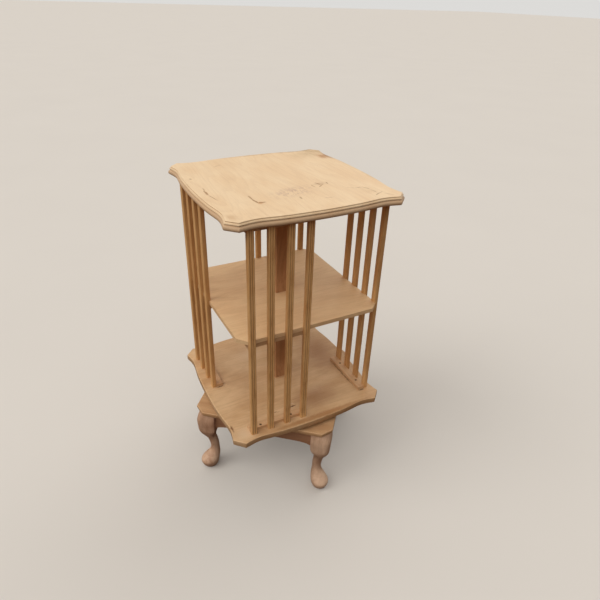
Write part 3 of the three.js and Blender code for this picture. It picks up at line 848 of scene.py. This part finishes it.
def cleats():
    gap_centre = (SLAT_WIDTH + SLAT_PITCH) / 2
    screw_at = [slat_edge(gap) + gap_centre + off for gap, off in SCREW_GAPS]
    screw_mesh = screw_shape()
    for place in ("bottom", "middle", "top"):
        low, high = (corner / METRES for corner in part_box(f"cleat_{place}_front"))
        corners = ((low.x, low.y), (high.x, low.y), (high.x, high.y), (low.x, high.y))
        outline = [Vector(corner) for corner in corners]
        facing = 1 if place == "bottom" else -1
        face_z = high.z if facing > 0 else low.z
        screw_y = low.y + SCREW_IN
        for quarters, face in enumerate(FACES):
            bm = prism(outline, low.z, high.z)
            bevel_sharp(bm, CLEAT_ROUNDING)
            dirty_sides(bm, low.z + CLEAT_CLEAN_RIM, high.z - CLEAT_CLEAN_RIM)
            cut_cells(bm, 0, LENGTH_CELL)
            holes = bmesh.new()
            for x in screw_at:
                one = lathe(HOLE_PROFILE, HOLE_SIDES)
                settle(one, facing, (x, screw_y, face_z))
                scratch = bpy.data.meshes.new("scratch")
                one.to_mesh(scratch)
                one.free()
                holes.from_mesh(scratch)
                bpy.data.meshes.remove(scratch)
            make_piece(
                f"cleat_{place}_{face}_drilled", cut_out(bm, holes), "case", CLEAT_WOOD,
                f"cleat_{place}_{face}", turn=quarters * QUARTER,
            )
            for number, x in enumerate(screw_at):
                one = screw_mesh.copy()
                angle = random.Random(f"{place}{face}{number}").uniform(0, 3)
                bmesh.ops.rotate(one, verts=one.verts, matrix=Matrix.Rotation(angle, 3, "Z"))
                settle(one, facing, (x, screw_y, face_z - facing * SCREW_SINK))
                make_piece(
                    f"screw_{place}_{face}_{number + 1}", one, "case", SCREW_STEEL,
                    turn=quarters * QUARTER,
                )
    screw_mesh.free()


# ---- posts ----
POST_ROUNDING = 2.0
POST_CORNER_STEPS = 4
POST_RUBBED = 0.8
POST_PALE_FOOT_HEIGHT = 80  # each post is paler near its foot, fading out over this height
POST_FOOT_PALING = 1.6


def post_outline():
    """A square with rounded corners."""
    centre = POST_ROUNDING - POST_HALF
    corner = []
    for k in range(POST_CORNER_STEPS + 1):
        angle = math.pi + QUARTER * k / POST_CORNER_STEPS
        corner.append(Vector((
            centre + POST_ROUNDING * math.cos(angle), centre + POST_ROUNDING * math.sin(angle)
        )))
    return four_sides(corner)


def posts():
    for name, low, high in (
        ("post_lower", BOTTOM_FACE, SHELF_UNDER),
        ("post_upper", SHELF_FACE, TOP_UNDER),
    ):
        bm = prism(post_outline(), low, high)
        layer = wear_layer(bm)
        for i, vertex in enumerate(bm.verts):
            if 0 < i % (POST_CORNER_STEPS + 1) < POST_CORNER_STEPS:
                vertex[layer] = POST_RUBBED
        cut_cells(bm, 2, LENGTH_CELL)
        for vertex in bm.verts:
            paling = POST_FOOT_PALING * (1 - (vertex.co.z - low) / POST_PALE_FOOT_HEIGHT)
            vertex[layer] = max(vertex[layer], min(paling, 1.0))
        make_piece(f"{name}_eased", bm, "case", POST_WOOD, name, grain="z")


# ---- stand ----
STAND_EDGE_LOW = [
    (0, 5.2, 0), (0, 3.4, -0.2), (0.5, 2.6, 0.2), (3.2, 2.3, -0.1), (3.8, 2.8, -0.9),
    (4.6, 2.4, -0.9), (5.1, 0.7, 0.2), (6.0, 0.0, 0.6), (8.0, 0.0, -0.2),
]
STAND_EDGE_HIGH = [
    (2.4, 0.0, -0.2), (1.4, 0.2, 0.4), (0.6, 0.7, 1.0), (0.1, 1.5, 0.8), (0, 2.3, 0.2), (0, 5.0, 0),
]
APRON_CURVE_STEPS = 14
APRON_ROUNDING = 1.0


def stand_board():
    levels = above(STAND_UNDER, STAND_EDGE_LOW) + below(STAND_FACE, STAND_EDGE_HIGH)
    make_piece(
        "stand_board_stepped", ring_board(clipped_square(STAND_HALF, CORNER_CLIP), levels), "stand",
        STAND_WOOD, "stand_board", turn=STAND_TURN,
    )


def apron_outline():
    """Seen from the front: straight at the top, curving down to the legs at the bottom."""
    high = STAND_UNDER - GLUE_GAP
    low = STAND_UNDER - APRON_END_DROP
    reach = LEG_INNER - GLUE_GAP
    curve = []
    for k in range(APRON_CURVE_STEPS + 1):
        t = k / APRON_CURVE_STEPS
        x = 2 * t * (1 - t) * APRON_CURVE_PULL + t**2 * APRON_CURVE
        curve.append((x - reach, low + APRON_RISE * (1 - (1 - t) ** 2)))
    curve += [(-x, z) for x, z in reversed(curve)]
    return [(reach, high), (-reach, high), *curve]


def aprons():
    outline = apron_outline()
    count = len(outline)
    for quarters in range(4):
        bm = bmesh.new()
        wear_layer(bm)
        front, back = [], []
        for x, z in outline:
            front.append(bm.verts.new((x, -APRON_FACE, z)))
            back.append(bm.verts.new((x, APRON_THICKNESS - APRON_FACE, z)))
        for i in range(count):
            j = (i + 1) % count
            bm.faces.new((front[i], front[j], back[j], back[i]))
        bm.faces.new(list(reversed(front)))
        bm.faces.new(back)
        bevel_sharp(bm, APRON_ROUNDING, limit=40)
        cut_cells(bm, 0, LENGTH_CELL)
        cut_cells(bm, 2, LENGTH_CELL)
        make_piece(
            f"apron_{quarters + 1}_arched", bm, "stand", APRON_WOOD_PAINTED_SHADE,
            f"apron_{quarters + 1}", turn=STAND_TURN + quarters * QUARTER,
        )


# Leg sections as in the CAD: height, centre each way from the axis, half size along the
# diagonal, half size across it, share of a square section, half width of the square,
# exponent of the square's outer corner (the lower, the rounder).
LEG_SECTIONS = [
    (0, 170, 15.8, 15, 0, 0, 4),
    (4, 170.8, 19.9, 18.2, 0, 0, 4),
    (13, 172, 24.9, 22.3, 0, 0, 4),
    (28, 172, 27.7, 25.4, 0, 0, 4),
    (40, 167, 24.1, 21.9, 0, 0, 4),
    (50, 161.9, 18.3, 17.6, 0, 0, 4),
    (60, 159.5, 14.3, 14.6, 0, 0, 4),
    (72, 158.9, 13, 13.4, 0, 0, 4),
    (88, 159.8, 13.2, 14, 0, 0, 4),
    (108, 162.9, 13.9, 14.7, 0, 0, 4),
    (124, 166.8, 15.2, 16.2, 0.08, 20, 4),
    (137, 169.3, 18, 18.5, 0.3, 24, 4),
    (150, 170, 23, 22, 0.62, 25.8, 4),
    (162, 169.5, 29, 27, 0.92, 27, 4),
    (174, 169.3, 31, 28, 1, 27.8, 4),
    (187, 169.8, 31, 28, 1, 28.3, 4),
    (200, 169.6, 31, 28, 1, 28.1, 4),
    (213, 168.2, 31, 28, 1, 26.7, 3),
    (224.7, 166.3, 31, 28, 1, 24.8, 2.2),
]
SQUARE_SHARE = 4  # where a section keeps its share of a square
SQUARE_CORNER = 12  # exponent of the square's other corners
LEG_STEPS = 72
LEG_LEVELS_PER_SECTION = 5
FOOT_RUBBED = 0.7
FOOT_RUBBED_FROM = 10
FOOT_RUBBED_TO = 45


def leg_point(section, angle):
    z, centre, out, across, square, block, corner = section
    off = angle - math.pi / 4
    oval = 1 / math.hypot(math.cos(off) / out, math.sin(off) / across)
    exponent = SQUARE_CORNER + (corner - SQUARE_CORNER) * max(math.cos(off), 0) ** 2
    sides = abs(math.cos(angle)) ** exponent + abs(math.sin(angle)) ** exponent
    radius = oval + (block / sides ** (1 / exponent) - oval) * square
    return (centre + radius * math.cos(angle), centre + radius * math.sin(angle), z)


def leg_levels():
    """The sections joined by a smooth curve in every column."""
    made = []
    last = len(LEG_SECTIONS) - 1
    for i in range(last):
        picks = [LEG_SECTIONS[k] for k in (max(i - 1, 0), i, i + 1, min(i + 2, last))]
        z0, z1, z2, z3 = (p[0] for p in picks)
        for k in range(LEG_LEVELS_PER_SECTION):
            t = k / LEG_LEVELS_PER_SECTION
            row = [z1 + (z2 - z1) * t]
            for a, b, c, d in list(zip(*picks))[1:]:
                v0 = (c - a) / (z2 - z0) * (z2 - z1)
                v1 = (d - b) / (z3 - z1) * (z2 - z1)
                row.append(cubic(b, c, v0, v1, t))
            row[SQUARE_SHARE] = min(max(row[SQUARE_SHARE], 0), 1)
            made.append(row)
    made.append(LEG_SECTIONS[-1])
    return made


def legs():
    rows = leg_levels()
    for quarters in range(4):
        bm = bmesh.new()
        layer = wear_layer(bm)
        rings = []
        for row in rows:
            rubbed = FOOT_RUBBED if FOOT_RUBBED_FROM < row[0] < FOOT_RUBBED_TO else 0.0
            ring = []
            for step in range(LEG_STEPS):
                vertex = bm.verts.new(leg_point(row, 2 * math.pi * step / LEG_STEPS))
                vertex[layer] = rubbed
                ring.append(vertex)
            rings.append(ring)
        for a, b in zip(rings, rings[1:]):
            for i in range(LEG_STEPS):
                j = (i + 1) % LEG_STEPS
                bm.faces.new((a[i], a[j], b[j], b[i]))
        bm.faces.new(list(reversed(rings[0])))
        bm.faces.new(rings[-1])
        make_piece(
            f"leg_{quarters + 1}_cabriole", bm, "stand", LEG_WOOD,
            f"leg_{quarters + 1}", turn=STAND_TURN + quarters * QUARTER, grain="z",
        )


# ---- turntable: the CAD solids stay, with metal finishes ----
def turntable():
    for name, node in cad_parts.items():
        if name in ("upper_bearing_plate", "lower_bearing_plate", "ball_cage"):
            finish, sharp_degrees = STEEL, 30
        elif name.startswith("ball_"):
            finish, sharp_degrees = BALL_STEEL, 60
            rounding = node.modifiers.new("round", "SUBSURF")
            rounding.levels = 1
            rounding.render_levels = 1
        else:
            continue
        node.data.materials.clear()
        node.data.materials.append(finish)
        smooth_shade(node.data, sharp_degrees)


# ---- stage ----
FLOOR_HALF = 60
FLOOR_COLOURS = ("d6d2cc", "dad6d0")
FLOOR_CLOUD_SCALE = (1.3, 1.3, 1.3)
FLOOR_ROUGHNESS = 0.9
BOUNCE = srgb("4c2c15")  # what the floor hands on, like a wooden one
BACKDROP = (0.72, 0.71, 0.69, 1)
SKY_FROM = (-0.15, 0.35, 0.92)
SKY_NEAR = (0.72, 0.69, 0.66, 1)
SKY_FAR = (0.05, 0.045, 0.04, 1)
# Cosines of the angles from SKY_FROM at which the sky is darkest and brightest.
SKY_DARKEST = -0.5
SKY_BRIGHTEST = 0.98
SUNS = {  # toward the light, strength, spread in degrees, colour
    "window": ((-1.9, 0.2, 1.8), 1.00, 40, (1.0, 0.96, 0.91)),
    "far_wall": ((1.6, 0.9, 1.1), 0.54, 60, (1.0, 0.95, 0.90)),
    "room": ((-1.0, -1.5, 1.6), 0.60, 45, (1.0, 0.95, 0.89)),
}


def seen_directly(tree, direct, indirect):
    """One colour for the camera and another for the light the surface hands on."""
    return tree.mix(tree.add("LightPath").outputs["Is Camera Ray"], indirect, direct)


def floor():
    """A plain pale floor that hands on warm, dim light like a wooden one."""
    material = bpy.data.materials.new("studio_floor")
    t = Tree(material)
    place = t.add("TexCoord").outputs["Object"]
    cloud = t.noise(t.stretch(place, FLOOR_CLOUD_SCALE), detail=3)
    pale = t.mix(cloud, *(srgb(colour) for colour in FLOOR_COLOURS))
    colour = seen_directly(t, pale, BOUNCE)
    t.finish(colour, FLOOR_ROUGHNESS, cloud, bump=0.0, **{"Specular IOR Level": 0.0})
    bm = bmesh.new()
    bmesh.ops.create_grid(bm, x_segments=2, y_segments=2, size=FLOOR_HALF)
    mesh = bpy.data.meshes.new("floor")
    bm.to_mesh(mesh)
    bm.free()
    mesh.materials.append(material)
    made = bpy.data.objects.new("floor", mesh)
    bpy.context.scene.collection.objects.link(made)


def sky():
    """A plain backdrop whose light swells towards the window side and overhead."""
    world = bpy.data.worlds.new("studio")
    bpy.context.scene.world = world
    t = Tree(world)
    incoming = t.add("NewGeometry").outputs["Incoming"]
    away = -Vector(SKY_FROM).normalized()
    toward = t.add("VectorMath", {0: incoming, 1: away}, operation="DOT_PRODUCT").outputs["Value"]
    light = t.mix(t.ramp(toward, SKY_DARKEST, SKY_BRIGHTEST), SKY_FAR, SKY_NEAR)
    background = t.add("Background", {"Color": seen_directly(t, BACKDROP, light), "Strength": 1.0})
    t.links.new(background.outputs[0], t.add("OutputWorld").inputs["Surface"])


def lights():
    """Very soft lights: a window on the left, a pale wall on the right, a dim room in front."""
    for name, (toward, strength, spread, colour) in SUNS.items():
        light = bpy.data.lights.new(name, "SUN")
        light.angle = math.radians(spread)
        light.energy = strength
        light.color = colour
        made = bpy.data.objects.new(name, light)
        made.rotation_mode = "QUATERNION"
        made.rotation_quaternion = (-Vector(toward)).to_track_quat("-Z", "Y")
        bpy.context.scene.collection.objects.link(made)


# The photograph's viewpoint, worked out from the object's own edges.
CAMERA_PLACE = (-0.5413, -1.1072, 1.2690)
CAMERA_HEADING = 28.745  # degrees from +Y towards +X
CAMERA_PITCH = 31.042  # degrees down
CAMERA_ROLL = 2.091
LENS = 30.421
SENSOR_WIDTH = 36
FARTHEST = 200


def camera():
    angles = (CAMERA_HEADING, CAMERA_PITCH, CAMERA_ROLL)
    heading, pitch, roll = (math.radians(angle) for angle in angles)
    forward = Vector((
        math.sin(heading) * math.cos(pitch), math.cos(heading) * math.cos(pitch), -math.sin(pitch)
    ))
    right = Vector((math.cos(heading), -math.sin(heading), 0))
    up = right.cross(forward)
    tilted_right = right * math.cos(roll) + up * math.sin(roll)
    tilted_up = up * math.cos(roll) - right * math.sin(roll)
    data = bpy.data.cameras.new("camera")
    data.sensor_width = SENSOR_WIDTH
    data.lens = LENS
    data.clip_end = FARTHEST
    made = bpy.data.objects.new("camera", data)
    basis = Matrix((tilted_right, tilted_up, -forward)).transposed()
    made.matrix_world = Matrix.Translation(CAMERA_PLACE) @ basis.to_4x4()
    bpy.context.scene.collection.objects.link(made)
    bpy.context.scene.camera = made


top_board()
middle_shelf()
bottom_board()
slats()
cleats()
posts()
stand_board()
aprons()
legs()
turntable()
floor()
sky()
lights()
camera()
bpy.context.scene.view_settings.view_transform = "Standard"
